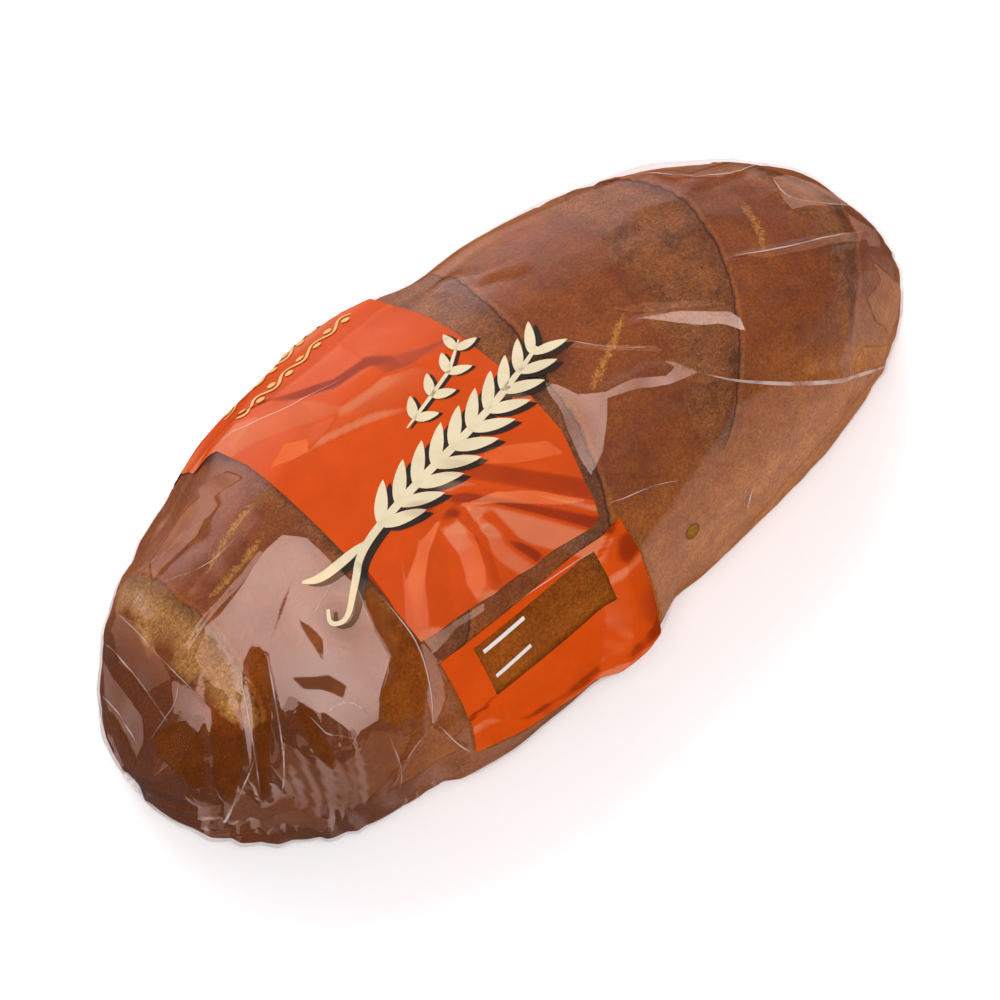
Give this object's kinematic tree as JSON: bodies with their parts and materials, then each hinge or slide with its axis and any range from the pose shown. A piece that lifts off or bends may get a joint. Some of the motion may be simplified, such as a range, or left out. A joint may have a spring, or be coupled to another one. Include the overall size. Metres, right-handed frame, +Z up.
{
  "type": "wrapped bread loaf",
  "caption": "Oval hearth loaf with five wide slashes, closed in a clear film bag with an orange printed band and a date panel.",
  "frame": {"origin": "on the table under the middle of the loaf's bounding box", "axes": "+X along the loaf towards its narrower end, +Y across it towards its far long side, +Z up out of the slashed crown"},
  "size_m": [0.29, 0.1366, 0.0837],
  "materials": {
    "clear_film": "clear glossy packing film, colourless, close over the brown crust",
    "crust": "baked brown crust, matte and finely cracked, paler and fibrous in the opened slashes",
    "orange_print": "opaque orange print on the film, glossy, with cream and dark plain ornament"
  },
  "bodies": {
    "root": {"bagged_loaf": "clear_film"}
  },
  "joints": []
}
